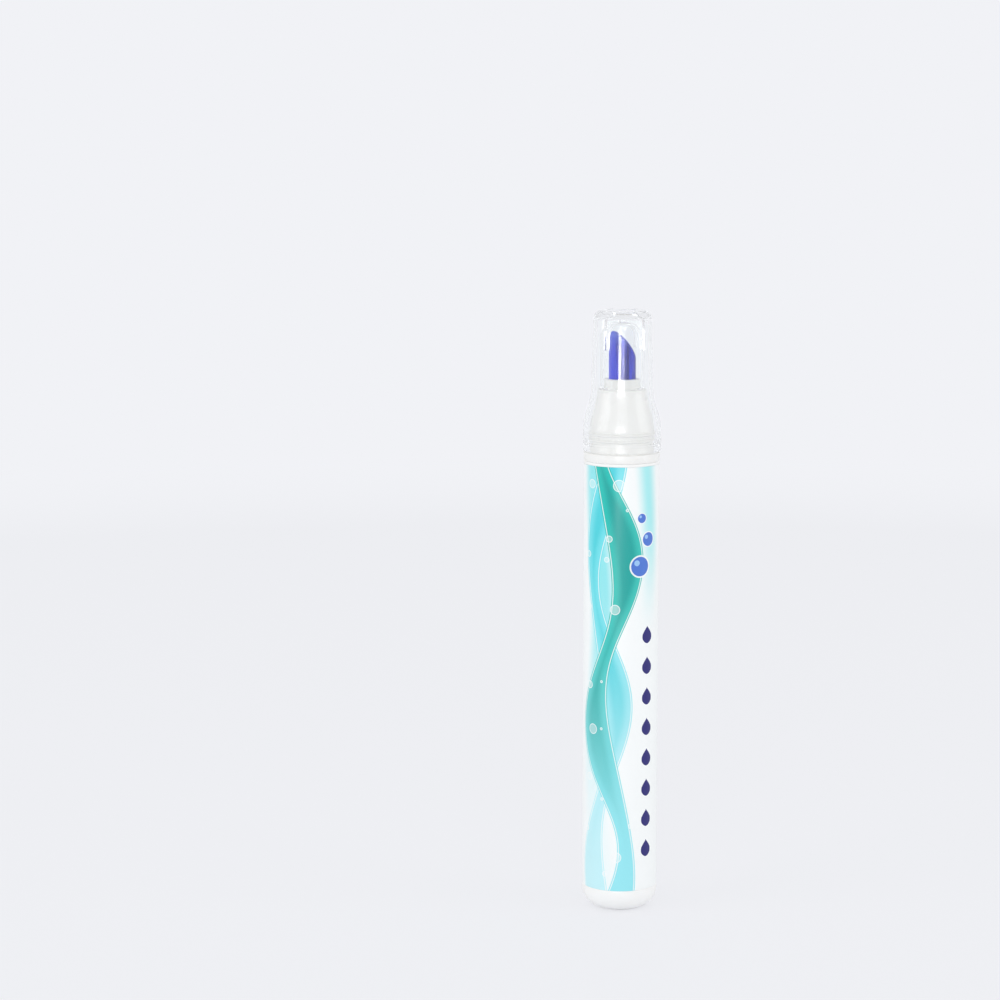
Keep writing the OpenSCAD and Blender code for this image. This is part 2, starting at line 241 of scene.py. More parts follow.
def makeCollar(b):
    edge, lead, bend = b["edge"], b["leadIn"], b["shoulderRound"]
    neckFillet, nozzleFillet = b["neckFillet"], b["nozzleFillet"]
    lowRound, topRound = b["flangeRounds"]
    sleeve = b["socket"] + b["socketWall"]
    wall = b["neck"] - b["shell"]
    taper = easePoints(b["neck"], b["neckTop"], b["nose"], b["shoulder"] - bend, b["noseSteps"])
    profile = [(b["shell"], b["plugLow"]), (b["plugRadius"] - edge, b["plugLow"])]
    profile += [(b["plugRadius"], b["plugLow"] + edge)]
    for z in b["sealRibs"]:
        profile += beadPoints(b["plugRadius"], z, b["ribWidth"], b["ribHeight"], 6)
    profile += [(b["plugRadius"], b["flangeLow"])]
    profile += arcPoints(b["flangeRadius"] - lowRound, b["flangeLow"] + lowRound, lowRound, -90, 0, 4)
    profile += arcPoints(b["flangeRadius"] - topRound, b["flangeTop"] - topRound, topRound, 0, 90, 5)
    profile += arcPoints(b["neck"] + neckFillet, b["flangeTop"] + neckFillet, neckFillet, -90, -180, 4)
    for z in b["beads"]:
        profile += beadPoints(b["neck"], z, b["beadWidth"], b["beadHeight"])
    profile += taper
    profile += arcPoints(b["nose"] - bend, b["shoulder"] - bend, bend, 0, 90, 6)[1:]
    profile += arcPoints(b["nozzle"] + nozzleFillet, b["shoulder"] + nozzleFillet, nozzleFillet,
                         -90, -180, 4)
    profile += arcPoints(b["nozzle"] - edge, b["nozzleTop"] - edge, edge, 0, 90, 6)
    profile += arcPoints(b["guide"] + lead, b["nozzleTop"] - lead, lead, 90, 180, 5)
    profile += [(b["guide"], b["chamberTop"]), (b["chamber"], b["chamberTop"])]
    profile += [(b["chamber"], b["stop"]), (b["feed"], b["stop"]), (b["feed"], b["ledge"])]
    profile += [(b["socket"], b["ledge"]), (b["socket"], b["plugLow"])]
    profile += [(sleeve, b["plugLow"]), (sleeve, b["ledge"] + b["socketWall"])]
    profile += [(b["tube"], b["ledge"] + 2 * b["socketWall"]), (b["tube"], b["coreTop"])]
    profile += [(r - wall, z) for r, z in reversed(taper) if z < b["coreTop"]]
    return turnOnAxis("collarMoulding", profile, b["segments"], closed=True)


collarMoulding = makeCollar(collar)
finishPiece(collarMoulding, "barrel", "collar_plastic", "collar")


# nib: a bonded fibre rod, its wall streaked by fibres and its end cut on a slant and worn round

nib = {
    "radius": 3.0, "low": 108.3, "apex": 131.6, "pointX": 1.8, "slant": 30, "crown": 10.5,
    "round": 1.3, "rim": 0.3, "endBlend": 0.22, "foot": 0.1, "endZone": 6, "segments": 176, "rows": 56,
    "rings": 14, "fibreDepth": 0.028, "drift": 0.4, "driftPerMm": 0.9, "driftSpread": 9,
    "fuzz": 0.012, "seed": 7,
}


def nibEnd(b, x, y):  # height of the worn end above a point of the rod's section
    flat = b["radius"] - b["round"]
    over = min(max(math.hypot(x, y) - flat, 0), b["round"])
    crownX = -b["pointX"] - b["crown"] * math.sin(math.radians(b["slant"]))
    crownZ = b["apex"] - b["crown"] * math.cos(math.radians(b["slant"]))
    end = b["apex"] - b["round"] + math.sqrt(b["round"] ** 2 - over ** 2)
    face = crownZ + math.sqrt(b["crown"] ** 2 - (x - crownX) ** 2 - y * y)
    low, high = min(end, face), max(end, face)
    return low - b["endBlend"] / 2 * math.exp((low - high) / b["endBlend"])


def makeNib(b):
    straight = b["apex"] - b["endZone"]
    flat = b["radius"] - b["round"]
    wallRise = straight - b["low"] - b["foot"]
    profile = [(0, b["low"]), (b["radius"] - b["foot"], b["low"])]
    profile += [(b["radius"], b["low"] + b["foot"] + wallRise * i / b["rows"])
                for i in range(b["rows"] + 1)]
    bend = [math.radians(90 - 90 * i / b["rings"]) for i in range(1, b["rings"] + 1)]
    profile += [(flat + b["round"] * math.sin(a), straight) for a in bend]
    profile += [(flat * (1 - i / b["rings"]), straight) for i in range(1, b["rings"] + 1)]
    piece = turnOnAxis("fibreNib", profile, b["segments"], smoothAngle=60)
    dice = random.Random(b["seed"])
    fibres = [dice.uniform(-1, 1) for _ in range(b["segments"])]
    for vertex in piece.data.vertices:
        x, y, z = (c / mm for c in vertex.co)
        reach = math.hypot(x, y)
        if reach > b["radius"] - 0.002 and z > b["low"] + b["foot"] / 2:  # on the wall
            column = round(math.atan2(y, x) / (2 * math.pi) * b["segments"]) % b["segments"]
            share = (z - b["low"]) / (straight - b["low"])
            rim = nibEnd(b, x, y) - b["rim"]
            z = b["low"] + (rim - b["low"]) * share
            drift = math.sin(z * b["driftPerMm"] + fibres[column] * b["driftSpread"]) * b["drift"]
            inward = b["fibreDepth"] * (0.5 + 0.5 * fibres[column] + drift * 0.5)
            shrink = 1 - max(inward, 0) / reach
            x, y = x * shrink, y * shrink
        elif z > b["low"] + 1:  # on the end
            soft = max(0, (reach - (b["radius"] - b["rim"])) / b["rim"])
            z = nibEnd(b, x, y) - b["rim"] * (1 - math.sqrt(max(1 - soft * soft, 0)))
            z -= dice.uniform(0, b["fuzz"])
        vertex.co = (x * mm, y * mm, z * mm)
    return piece


fibreNib = makeNib(nib)
finishPiece(fibreNib, "nib_unit", "nib_fibre", "nib")


# liner: the inner cup that seals round the nozzle under the cap

liner = {
    "inner": 4.2, "outer": 4.9, "low": 118.65, "top": 133.6, "round": 3.0, "edge": 0.3,
    "lipRound": 0.15, "lipHeight": 4, "innerSteps": 24, "outerSteps": 26, "segments": 160,
}


def linerEnd(b, grow, steps):  # the rounded closed end, from its wall to its axis
    corner = b["round"] + b["outer"] - b["inner"]
    return arcPoints(b["outer"] - corner, b["top"] - corner, corner + grow, 0, 90, steps)


def makeLiner(b):
    wall = b["outer"] - b["inner"]
    lip, lipTop = b["lipRound"], b["low"] + b["lipHeight"]
    profile = [(0, b["top"] - wall)]
    profile += arcPoints(b["inner"] - b["round"], b["top"] - wall - b["round"], b["round"], 90, 0,
                         b["innerSteps"])
    profile += [(b["inner"], lipTop), (b["inner"], b["low"] + b["edge"])]
    profile += [(b["inner"] + b["edge"], b["low"])]
    profile += arcPoints(b["outer"] - lip, b["low"] + lip, lip, -90, 0, 4)
    profile += [(b["outer"], lipTop)]
    profile += linerEnd(b, 0, b["outerSteps"])
    profile += [(0, b["top"])]
    return turnOnAxis("linerCup", profile, b["segments"])


linerCup = makeLiner(liner)
finishPiece(linerCup, "cap", "liner_plastic", "cap_liner")


# cap: a clear bell, slim above and flared over the neck, with ribs that grip the liner

cap = {
    "low": 104.8, "top": 136.1, "skirt": 8.8, "wall": 1.0, "topWall": 1.6, "head": 6.5,
    "round": 1.8, "draft": 1.6, "flareLow": 109.5, "flareTop": 118.2, "flareSteps": 32,
    "snapZ": 106.4, "snapWidth": 0.8, "snapHeight": 0.15, "edge": 0.3,
    "gateRadii": (0.7, 0.9), "gateDepth": 0.06,
    "ribs": 4, "ribThickness": 0.8, "ribLength": 7, "ribSink": 0.4, "pin": 1.2, "linerGap": 0.02,
    "segments": 192,
}


def makeCap(b, held):
    tilt = math.tan(math.radians(b["draft"]))
    flare = b["head"] + (b["top"] - b["flareTop"]) * tilt
    inner = b["skirt"] - b["wall"]
    ceiling = b["top"] - b["topWall"]
    innerRound = b["round"] - b["wall"]
    ceilingR = b["head"] - b["wall"] + (b["topWall"] + innerRound) * tilt - innerRound
    gate = b["top"] - b["gateDepth"]
    profile = [(0, gate), (b["gateRadii"][0], gate), (b["gateRadii"][1], b["top"])]
    profile += arcPoints(b["head"] - b["round"], b["top"] - b["round"], b["round"], 90, b["draft"], 14)
    outside = easePoints(b["skirt"], b["flareLow"], flare, b["flareTop"], b["flareSteps"])
    profile += reversed(outside)
    profile += arcPoints(b["skirt"] - b["edge"], b["low"] + b["edge"], b["edge"], 0, -90, 5)
    profile += arcPoints(inner + b["edge"], b["low"] + b["edge"], b["edge"], -90, -180, 5)
    profile += beadPoints(inner, b["snapZ"], b["snapWidth"], -b["snapHeight"], 8)
    profile += easePoints(inner, b["flareLow"], flare - b["wall"], b["flareTop"], b["flareSteps"])
    profile += arcPoints(ceilingR, ceiling - innerRound, innerRound, b["draft"], 90, 6)
    profile += [(0, ceiling)]
    piece = turnOnAxis("capShell", profile, b["segments"])
    # the ribs cross on the axis, and what the liner fills is cut out of them
    envelope = [(0, held["top"] + b["linerGap"])]
    envelope += reversed(linerEnd(held, b["linerGap"], 20))
    envelope += [(held["outer"] + b["linerGap"], held["low"]), (0, held["low"])]
    ribLow = ceiling - b["ribLength"]
    ribTop = ceiling + b["ribSink"]
    span = 2 * (b["head"] - b["wall"] / 2)
    grip = turnOnAxis("grip", [(0, ribTop), (b["pin"], ribTop), (b["pin"], ribLow), (0, ribLow)], 48)
    for i in range(b["ribs"] // 2):
        turn = math.radians(180 / b["ribs"] + 360 / b["ribs"] * i)
        bar = addBar((0, 0, (ribLow + ribTop) / 2), (span, b["ribThickness"], ribTop - ribLow), turn)
        combine(grip, bar, "UNION")
    combine(grip, turnOnAxis("envelope", envelope, 96), "DIFFERENCE")
    combine(piece, grip, "UNION")
    bpy.ops.object.shade_smooth_by_angle(angle=math.radians(35))
    return piece


capShell = makeCap(cap, liner)
finishPiece(capShell, "cap", "cap_plastic", "cap_shell")


# return spring: drawn wire wound close at both ends, which the pressed nib shortens; here it is made at one
# length only

spring = {
    "low": 88.45, "top": 96.0, "coilRadius": 1.8, "wireRadius": 0.2, "turns": 7, "perTurn": 36,
    "closing": 0.62, "floor": 88.2, "press": 2.0,
}


def makeSpring(b):
    bpy.ops.object.select_all(action="DESELECT")
    bpy.ops.curve.primitive_nurbs_path_add()
    path = bpy.context.object
    path.name = path.data.name = "returnSpring"
    path.data.splines.clear()
    wire = path.data.splines.new("POLY")
    steps = b["turns"] * b["perTurn"]
    wire.points.add(steps)
    for i, point in enumerate(wire.points):
        turn = 2 * math.pi * i / b["perTurn"]
        share = i / steps - b["closing"] * math.sin(2 * math.pi * i / steps) / (2 * math.pi)
        z = b["low"] + (b["top"] - b["low"]) * share
        point.co = (b["coilRadius"] * math.cos(turn) * mm, b["coilRadius"] * math.sin(turn) * mm, z * mm, 1)
    path.data.bevel_depth = b["wireRadius"] * mm
    path.data.bevel_resolution = 4
    path.data.use_fill_caps = True
    bpy.ops.object.convert(target="MESH")
    closeMesh()
    bpy.ops.object.shade_smooth_by_angle(angle=math.radians(50))
    return bpy.context.object


returnSpring = makeSpring(spring)
finishPiece(returnSpring, "barrel", "spring_steel", "valve_spring")
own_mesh(returnSpring)


# the white mouldings

whites = {
    "barrel": {"colour": "#f8f8f7", "roughness": 0.34, "grain": 0.35},
    # the collar's white is a little darker than the barrel's: painted shade that holds back the extra light
    # falling on its upturned nose
    "collar": {"colour": "#f2f2f0", "roughness": 0.3, "grain": 0.3},
    "milkiness": 0.08, "milkDepth": (1.2, 1.1, 1.0), "cloud": 9, "glossSpread": (-0.05, 0.06),
    "skinBump": 0.06, "skinDepth": 0.02,
}


def whitePolypropylene(name, w):
    # injection-moulded polypropylene: soft white, satin, with a faint unevenness in its gloss.
    # Its skin's grain is drawn coarser than the real one, and shows only close up
    own = w[name]
    material, tree, shader, coords = newMaterial(
        name + "Polypropylene", Base_Color=linearColour(own["colour"]), Roughness=own["roughness"],
        IOR=1.49, Subsurface_Weight=w["milkiness"],
        Subsurface_Radius=[d * mm for d in w["milkDepth"]], Subsurface_Scale=1.0)
    cloud = addNode(tree, "ShaderNodeTexNoise", {
        "Vector": coords, "Scale": 1 / (w["cloud"] * mm), "Detail": 3.0})
    gloss = addNode(tree, "ShaderNodeMapRange", {
        "Value": cloud, "From Min": 0.3, "From Max": 0.7,
        "To Min": own["roughness"] + w["glossSpread"][0], "To Max": own["roughness"] + w["glossSpread"][1]})
    tree.links.new(gloss.outputs[0], shader.inputs["Roughness"])
    skin = addNode(tree, "ShaderNodeTexNoise", {
        "Vector": coords, "Scale": 1 / (own["grain"] * mm), "Detail": 2.0})
    bump = addNode(tree, "ShaderNodeBump", {
        "Height": skin, "Strength": w["skinBump"], "Distance": w["skinDepth"] * mm})
    tree.links.new(bump.outputs[0], shader.inputs["Normal"])
    return material


dress(barrelTube, whitePolypropylene("barrel", whites))
dress(collarMoulding, whitePolypropylene("collar", whites))


# label print: two currents that cross, on a pale wash, with bubbles and a column of drops

labelPrint = {
    "paper": "#f7fafa",
    "period": 66,  # height of one swing of every current, in mm
    "fullInk": (2, 22),  # inks grow from pale to full between these margins at the film's ends
    "softEdge": 0.06,
    "currents": [  # two that run down the back, then the shallow and the deep one in front
        {"centre": -18.6, "swing": 2.4, "phase": 4.1, "halfWidth": 1.9, "breath": 0.7,
         "breathPhase": 1.1, "strength": 0.75, "low": "#d2f4f9", "high": "#8fe6ee", "vein": "#6ee0ea"},
        {"centre": 17.8, "swing": 2.4, "phase": 2.0, "halfWidth": 1.9, "breath": 0.7,
         "breathPhase": 2.9, "strength": 0.75, "low": "#d2f4f9", "high": "#8fe6ee", "vein": "#6ee0ea"},
        {"centre": -4.6, "swing": 3.2, "phase": 3.5, "halfWidth": 2.5, "breath": 0.9,
         "breathPhase": 0.6, "strength": 0.95, "low": "#c4f1f8", "high": "#6ee0ea", "vein": "#3fcfda"},
        {"centre": -3.4, "swing": 3.9, "phase": 0.35, "halfWidth": 2.9, "breath": 1.1,
         "breathPhase": 2.2, "strength": 0.97, "low": "#93e7f1", "high": "#0cc0b4", "vein": "#009f99"},
    ],
    "vein": {"from": 0.7, "to": 2.8, "strength": 0.85},
    "rim": {"inset": 0.32, "half": 0.1, "soft": 0.05, "strength": 0.85},
    "wash": {"centre": -6.4, "swing": 1.1, "phase": 1.4, "halfWidth": 2.7, "soft": 1.6,
             "least": 0.2, "gain": 0.75, "low": "#d2f4f9", "high": "#8ae6ec"},
    "mist": {"centre": 5.6, "swing": 0.9, "phase": 0.2, "halfWidth": 1.9, "soft": 1.8,
             "from": 62, "to": 94, "ink": "#a9ecef"},
    # sizes below are shares of the pitch, and clearOf keeps the side of the drops free
    "bubbles": {"pitch": 5.6, "scatter": 0.75, "least": 0.05, "spread": 0.2, "rare": 0.42,
                "soft": 0.012, "wallInset": 0.02, "wallHalf": 0.014, "wallSoft": 0.008,
                "body": 0.35, "wall": 0.8, "clearOf": (2.6, 3.2)},
    "beads": {"ink": "#2c69cf", "shine": "#9cc8f4", "rim": 1.16, "shineAside": 0.36, "shineSize": 0.3,
              "soft": 0.05, "strength": 0.95,
              "places": [(3.5, 79.6, 2.2), (5.7, 85.6, 1.55), (3.9, 90.4, 1.05)]},
    "drops": {"ink": "#1a1670", "x": 5.6, "low": 13.0, "top": 68.0, "pitch": 7.0, "width": 2.9,
              "soft": 0.08,
              # half width, as a share, against height, as a share of the pitch
              "outline": [(0.0, 0.0), (0.03, 0.42), (0.09, 0.75), (0.18, 0.97), (0.26, 0.98),
                          (0.36, 0.78), (0.48, 0.36), (0.56, 0.06), (0.6, 0.0), (1.0, 0.0)]},
    "ripple": 6, "rippleBump": 0.08, "rippleDepth": 0.05,
}


def printedFilm(p, b):
    # gravure-printed polypropylene film: clear inks on white under a gloss varnish
    material, tree, shader, coords = newMaterial(
        "printedFilm", Roughness=0.3, IOR=1.46, Coat_Weight=0.15, Coat_Roughness=0.12)
    x, y, z = addNode(tree, "ShaderNodeSeparateXYZ", [coords]).outputs
    back = addNode(tree, "ShaderNodeMath", [y, -1.0], operation="MULTIPLY")
    angle = addNode(tree, "ShaderNodeMath", [x, back], operation="ARCTAN2")
    across = addNode(tree, "ShaderNodeMath", [angle, b["radius"]], operation="MULTIPLY")
    height = addNode(tree, "ShaderNodeMath", [z, 1 / mm], operation="MULTIPLY")

    def ribbon(r):  # how far a point lies inside a swinging band, in mm
        wave = 2 * math.pi / p["period"]
        turn = addNode(tree, "ShaderNodeMath", [height, wave, r["phase"]], operation="MULTIPLY_ADD")
        swing = addNode(tree, "ShaderNodeMath", [turn], operation="SINE")
        centre = addNode(tree, "ShaderNodeMath", [swing, r["swing"], r["centre"]],
                         operation="MULTIPLY_ADD")
        off = addNode(tree, "ShaderNodeMath", [across, centre], operation="SUBTRACT")
        off = addNode(tree, "ShaderNodeMath", [off], operation="ABSOLUTE")
        swell = addNode(tree, "ShaderNodeMath", [height, wave * 1.5, r.get("breathPhase", 0.0)],
                        operation="MULTIPLY_ADD")
        swell = addNode(tree, "ShaderNodeMath", [swell], operation="SINE")
        half = addNode(tree, "ShaderNodeMath", [swell, r.get("breath", 0.0), r["halfWidth"]],
                       operation="MULTIPLY_ADD")
        return addNode(tree, "ShaderNodeMath", [half, off], operation="SUBTRACT")

    def nearLine(depth, offset, halfWidth):  # how far a point lies inside a thin line along an edge
        off = addNode(tree, "ShaderNodeMath", [depth, -offset], operation="ADD")
        off = addNode(tree, "ShaderNodeMath", [off], operation="ABSOLUTE")
        return addNode(tree, "ShaderNodeMath", [halfWidth, off], operation="SUBTRACT")

    def edgeMask(inside, soft):
        return addNode(tree, "ShaderNodeMapRange", {"Value": inside, "From Min": -soft, "From Max": soft},
                       interpolation_type="SMOOTHSTEP")

    def layInk(under, ink, mask, strength=1.0):  # an ink is a socket or a hex colour
        share = addNode(tree, "ShaderNodeMath", [mask, strength], operation="MULTIPLY")
        ink = linearColour(ink) if isinstance(ink, str) else ink
        layer = addNode(tree, "ShaderNodeMix", {0: share, 6: under, 7: ink}, data_type="RGBA")
        return layer.outputs[2]

    # inks fade from full at the collar to pale at the foot
    rise = addNode(tree, "ShaderNodeMapRange", {
        "Value": height, "From Min": b["low"] + p["fullInk"][0], "From Max": b["top"] - p["fullInk"][1]},
        interpolation_type="SMOOTHSTEP")
    colour = linearColour(p["paper"])
    wash = p["wash"]
    fade = addNode(tree, "ShaderNodeMath", [rise, wash["gain"], wash["least"]], operation="MULTIPLY_ADD")
    washMask = addNode(tree, "ShaderNodeMath", [edgeMask(ribbon(wash), wash["soft"]), fade],
                       operation="MULTIPLY")
    colour = layInk(colour, layInk(linearColour(wash["low"]), wash["high"], rise), washMask)
    mist = p["mist"]
    mistRise = addNode(tree, "ShaderNodeMapRange", {
        "Value": height, "From Min": mist["from"], "From Max": mist["to"]},
        interpolation_type="SMOOTHSTEP")
    mistMask = addNode(tree, "ShaderNodeMath", [edgeMask(ribbon(mist), mist["soft"]), mistRise],
                       operation="MULTIPLY")
    colour = layInk(colour, mist["ink"], mistMask)
    vein, rim = p["vein"], p["rim"]
    for current in p["currents"]:
        inside = ribbon(current)
        ink = layInk(linearColour(current["low"]), current["high"], rise)
        colour = layInk(colour, ink, edgeMask(inside, p["softEdge"]), current["strength"])
        # a fuller vein inside each current, and a line of bare paper just inside its edge
        veinMask = addNode(tree, "ShaderNodeMapRange", {
            "Value": inside, "From Min": vein["from"], "From Max": vein["to"], "To Max": vein["strength"]},
            interpolation_type="SMOOTHSTEP")
        veinMask = addNode(tree, "ShaderNodeMath", [veinMask, rise], operation="MULTIPLY")
        colour = layInk(colour, current["vein"], veinMask)
        line = nearLine(inside, rim["inset"], rim["half"])
        colour = layInk(colour, p["paper"], edgeMask(line, rim["soft"]), rim["strength"])

    # bubbles: round cells of several sizes, thin walled, kept off the side with the drops
    s = p["bubbles"]
    flat = addNode(tree, "ShaderNodeCombineXYZ", [across, height])
    cells = addNode(tree, "ShaderNodeTexVoronoi", {
        "Vector": flat, "Scale": 1 / s["pitch"], "Randomness": s["scatter"]}, voronoi_dimensions="2D")
    pick = addNode(tree, "ShaderNodeSeparateColor", [cells.outputs["Color"]])
    size = addNode(tree, "ShaderNodeMath", [pick.outputs[0], s["spread"], s["least"]],
                   operation="MULTIPLY_ADD")
    chosen = addNode(tree, "ShaderNodeMath", [pick.outputs[1], s["rare"]], operation="GREATER_THAN")
    depth = addNode(tree, "ShaderNodeMath", [size, cells.outputs["Distance"]], operation="SUBTRACT")
    clear = addNode(tree, "ShaderNodeMapRange", {
        "Value": across, "From Min": s["clearOf"][0], "From Max": s["clearOf"][1],
        "To Min": 1.0, "To Max": 0.0})
    chosen = addNode(tree, "ShaderNodeMath", [chosen, clear], operation="MULTIPLY")
    bodyMask = addNode(tree, "ShaderNodeMath", [edgeMask(depth, s["soft"]), chosen], operation="MULTIPLY")
    wall = nearLine(depth, s["wallInset"], s["wallHalf"])
    wallMask = addNode(tree, "ShaderNodeMath", [edgeMask(wall, s["wallSoft"]), chosen],
                       operation="MULTIPLY")
    colour = layInk(colour, p["paper"], bodyMask, s["body"])
    colour = layInk(colour, p["paper"], wallMask, s["wall"])

    # three larger blue bubbles, each with a white rim and a small shine
    e = p["beads"]
    for beadX, beadZ, radius in e["places"]:
        for ink, aside, share in ((p["paper"], 0, e["rim"]), (e["ink"], 0, 1.0),
                                  (e["shine"], e["shineAside"], e["shineSize"])):
            centre = (beadX - aside * radius, beadZ + aside * radius, 0)
            reach = addNode(tree, "ShaderNodeVectorMath", [flat, centre], operation="DISTANCE")
            inside = addNode(tree, "ShaderNodeMath", [radius * share, reach.outputs["Value"]],
                             operation="SUBTRACT")
            colour = layInk(colour, ink, edgeMask(inside, e["soft"]), e["strength"])

    # a column of plain drops, each a round belly that tapers to a point
    d = p["drops"]
    step = addNode(tree, "ShaderNodeMath", [height, -d["low"]], operation="ADD")
    step = addNode(tree, "ShaderNodeMath", [step, 1 / d["pitch"]], operation="MULTIPLY")
    step = addNode(tree, "ShaderNodeMath", [step], operation="FRACT")
    belly = addNode(tree, "ShaderNodeFloatCurve", {"Value": step})
    knots = belly.mapping.curves[0].points
    knots[0].location, knots[1].location = d["outline"][0], d["outline"][-1]
    for point in d["outline"][1:-1]:
        knots.new(*point)
    belly.mapping.update()
    side = addNode(tree, "ShaderNodeMath", [across, -d["x"]], operation="ADD")
    side = addNode(tree, "ShaderNodeMath", [side], operation="ABSOLUTE")
    inDrop = addNode(tree, "ShaderNodeMath", [belly, d["width"] / 2], operation="MULTIPLY")
    inDrop = addNode(tree, "ShaderNodeMath", [inDrop, side], operation="SUBTRACT")
    below = addNode(tree, "ShaderNodeMath", [height, d["top"]], operation="LESS_THAN")
    above = addNode(tree, "ShaderNodeMath", [height, d["low"]], operation="GREATER_THAN")
    column = addNode(tree, "ShaderNodeMath", [below, above], operation="MULTIPLY")
    dropMask = addNode(tree, "ShaderNodeMapRange", {
        "Value": inDrop, "From Min": 0.0, "From Max": d["soft"]})
    dropMask = addNode(tree, "ShaderNodeMath", [dropMask, column], operation="MULTIPLY")
    colour = layInk(colour, d["ink"], dropMask)
    tree.links.new(colour, shader.inputs["Base Color"])

    # the film takes the barrel's faint waviness
    ripple = addNode(tree, "ShaderNodeTexNoise", {
        "Vector": coords, "Scale": 1 / (p["ripple"] * mm), "Detail": 2.0})
    bump = addNode(tree, "ShaderNodeBump", {
        "Height": ripple, "Strength": p["rippleBump"], "Distance": p["rippleDepth"] * mm})
    tree.links.new(bump.outputs[0], shader.inputs["Normal"])
    return material


dress(labelFilm, printedFilm(labelPrint, label))
print("label printed")


# nib: felt that is damp with the liquid

felt = {
    "fibre": 0.34,  # mm, about ten times a real fibre, so that the streaks show
    "band": 1.5, "stretch": 0.035, "fibreShare": 0.6, "bandShare": 1.2, "shift": -0.44,
    "dark": (0.3, "#0b0c7c"), "middle": (0.52, "#1e30d4"), "light": (0.75, "#3d4ff2"),
    "paleEnd": "#6f86e4", "paleEndLow": 127.5, "paleEndShare": 0.55, "bump": 0.5, "bumpDepth": 0.04,
}


def bondedFibre(f, b):
    # extruded polyester fibres bonded with resin: lengthwise streaks, speckled where they are cut
    material, tree, shader, coords = newMaterial(
        "bondedPolyesterFibre", Roughness=0.6, IOR=1.36, Sheen_Weight=0.04)
    along = addNode(tree, "ShaderNodeMapping", {"Vector": coords, "Scale": (1.0, 1.0, f["stretch"])})
    fibres = addNode(tree, "ShaderNodeTexNoise", {
        "Vector": along, "Scale": 1 / (f["fibre"] * mm), "Detail": 3.0, "Roughness": 0.65})
    # broader bands, darker where the rod holds more of the liquid
    bands = addNode(tree, "ShaderNodeTexNoise", {
        "Vector": along, "Scale": 1 / (f["band"] * mm), "Detail": 1.5})
    tone = addNode(tree, "ShaderNodeMath", [fibres, f["fibreShare"], f["shift"]],
                   operation="MULTIPLY_ADD")
    tone = addNode(tree, "ShaderNodeMath", [bands, f["bandShare"], tone], operation="MULTIPLY_ADD")
    ramp = addNode(tree, "ShaderNodeValToRGB", {"Fac": tone})
    stops = ramp.color_ramp.elements
    stops[0].position, stops[0].color = f["dark"][0], linearColour(f["dark"][1])
    stops[1].position, stops[1].color = f["light"][0], linearColour(f["light"][1])
    stops.new(f["middle"][0]).color = linearColour(f["middle"][1])
    # the colour turns paler towards the end of the nib
    place = addNode(tree, "ShaderNodeSeparateXYZ", [coords])
    paleEnd = addNode(tree, "ShaderNodeMapRange", {
        "Value": place.outputs[2], "From Min": f["paleEndLow"] * mm, "From Max": b["apex"] * mm,
        "To Min": 0.0, "To Max": f["paleEndShare"]}, interpolation_type="SMOOTHSTEP")
    endBlend = addNode(tree, "ShaderNodeMix", {0: paleEnd, 6: ramp, 7: linearColour(f["paleEnd"])},
                   data_type="RGBA")
    tree.links.new(endBlend.outputs[2], shader.inputs["Base Color"])
    bump = addNode(tree, "ShaderNodeBump", {
        "Height": fibres, "Strength": f["bump"], "Distance": f["bumpDepth"] * mm})
    tree.links.new(bump.outputs[0], shader.inputs["Normal"])
    return material


dress(fibreNib, bondedFibre(felt, nib))
print("nib dressed")


# the two clear mouldings

clears = {
    # the real index is 1.49: a lower one stands for thin walls, whose edges show only faintly
    "cap": {"index": 1.34, "haze": 0.015, "roughness": 0.04, "ripple": 0.1},
    "liner": {"index": 1.22, "haze": 0.01, "roughness": 0.07, "ripple": 0.12},
    "tint": "#feffff", "wave": 5, "waveDepth": 0.05, "stretch": 0.4,
    "film": "#fbfbfb", "glossyTurns": 2.5, "allTurns": 7.5,
}


def clearPolypropylene(name, c):
    # clarified polypropylene: see-through with a slight milkiness, softly wavy where it cooled
    own = c[name]
    material, tree, shader, coords = newMaterial(
        name + "Polypropylene", Base_Color=linearColour(c["tint"]), Roughness=own["roughness"],
        IOR=own["index"], Transmission_Weight=1 - own["haze"])
    flow = addNode(tree, "ShaderNodeMapping", {"Vector": coords, "Scale": (1.0, 1.0, c["stretch"])})
    wave = addNode(tree, "ShaderNodeTexNoise", {
        "Vector": flow, "Scale": 1 / (c["wave"] * mm), "Detail": 1.5})
    bump = addNode(tree, "ShaderNodeBump", {
        "Height": wave, "Strength": own["ripple"], "Distance": c["waveDepth"] * mm})
    tree.links.new(bump.outputs[0], shader.inputs["Normal"])
    # light passes to what is inside, dimmed a little by each wall, and long paths don't end black
    path = addNode(tree, "ShaderNodeLightPath").outputs
    inWall = addNode(tree, "ShaderNodeMath", [path["Glossy Depth"], c["glossyTurns"]],
                     operation="GREATER_THAN")
    long = addNode(tree, "ShaderNodeMath", [path["Ray Depth"], c["allTurns"]], operation="GREATER_THAN")
    long = addNode(tree, "ShaderNodeMath", [long, inWall], operation="MAXIMUM")
    soft = addNode(tree, "ShaderNodeMath", [path["Is Shadow Ray"], path["Is Diffuse Ray"]],
                   operation="MAXIMUM")
    through = addNode(tree, "ShaderNodeMath", [soft, long], operation="MAXIMUM")
    film = addNode(tree, "ShaderNodeBsdfTransparent", {"Color": linearColour(c["film"])})
    mix = addNode(tree, "ShaderNodeMixShader", [through, shader, film])
    tree.links.new(mix.outputs[0], tree.nodes["Material Output"].inputs["Surface"])
    return material


dress(capShell, clearPolypropylene("cap", clears))
dress(linerCup, clearPolypropylene("liner", clears))
print("cap and liner dressed")


# hidden pieces of the valve, which show when the pen is cut or taken apart

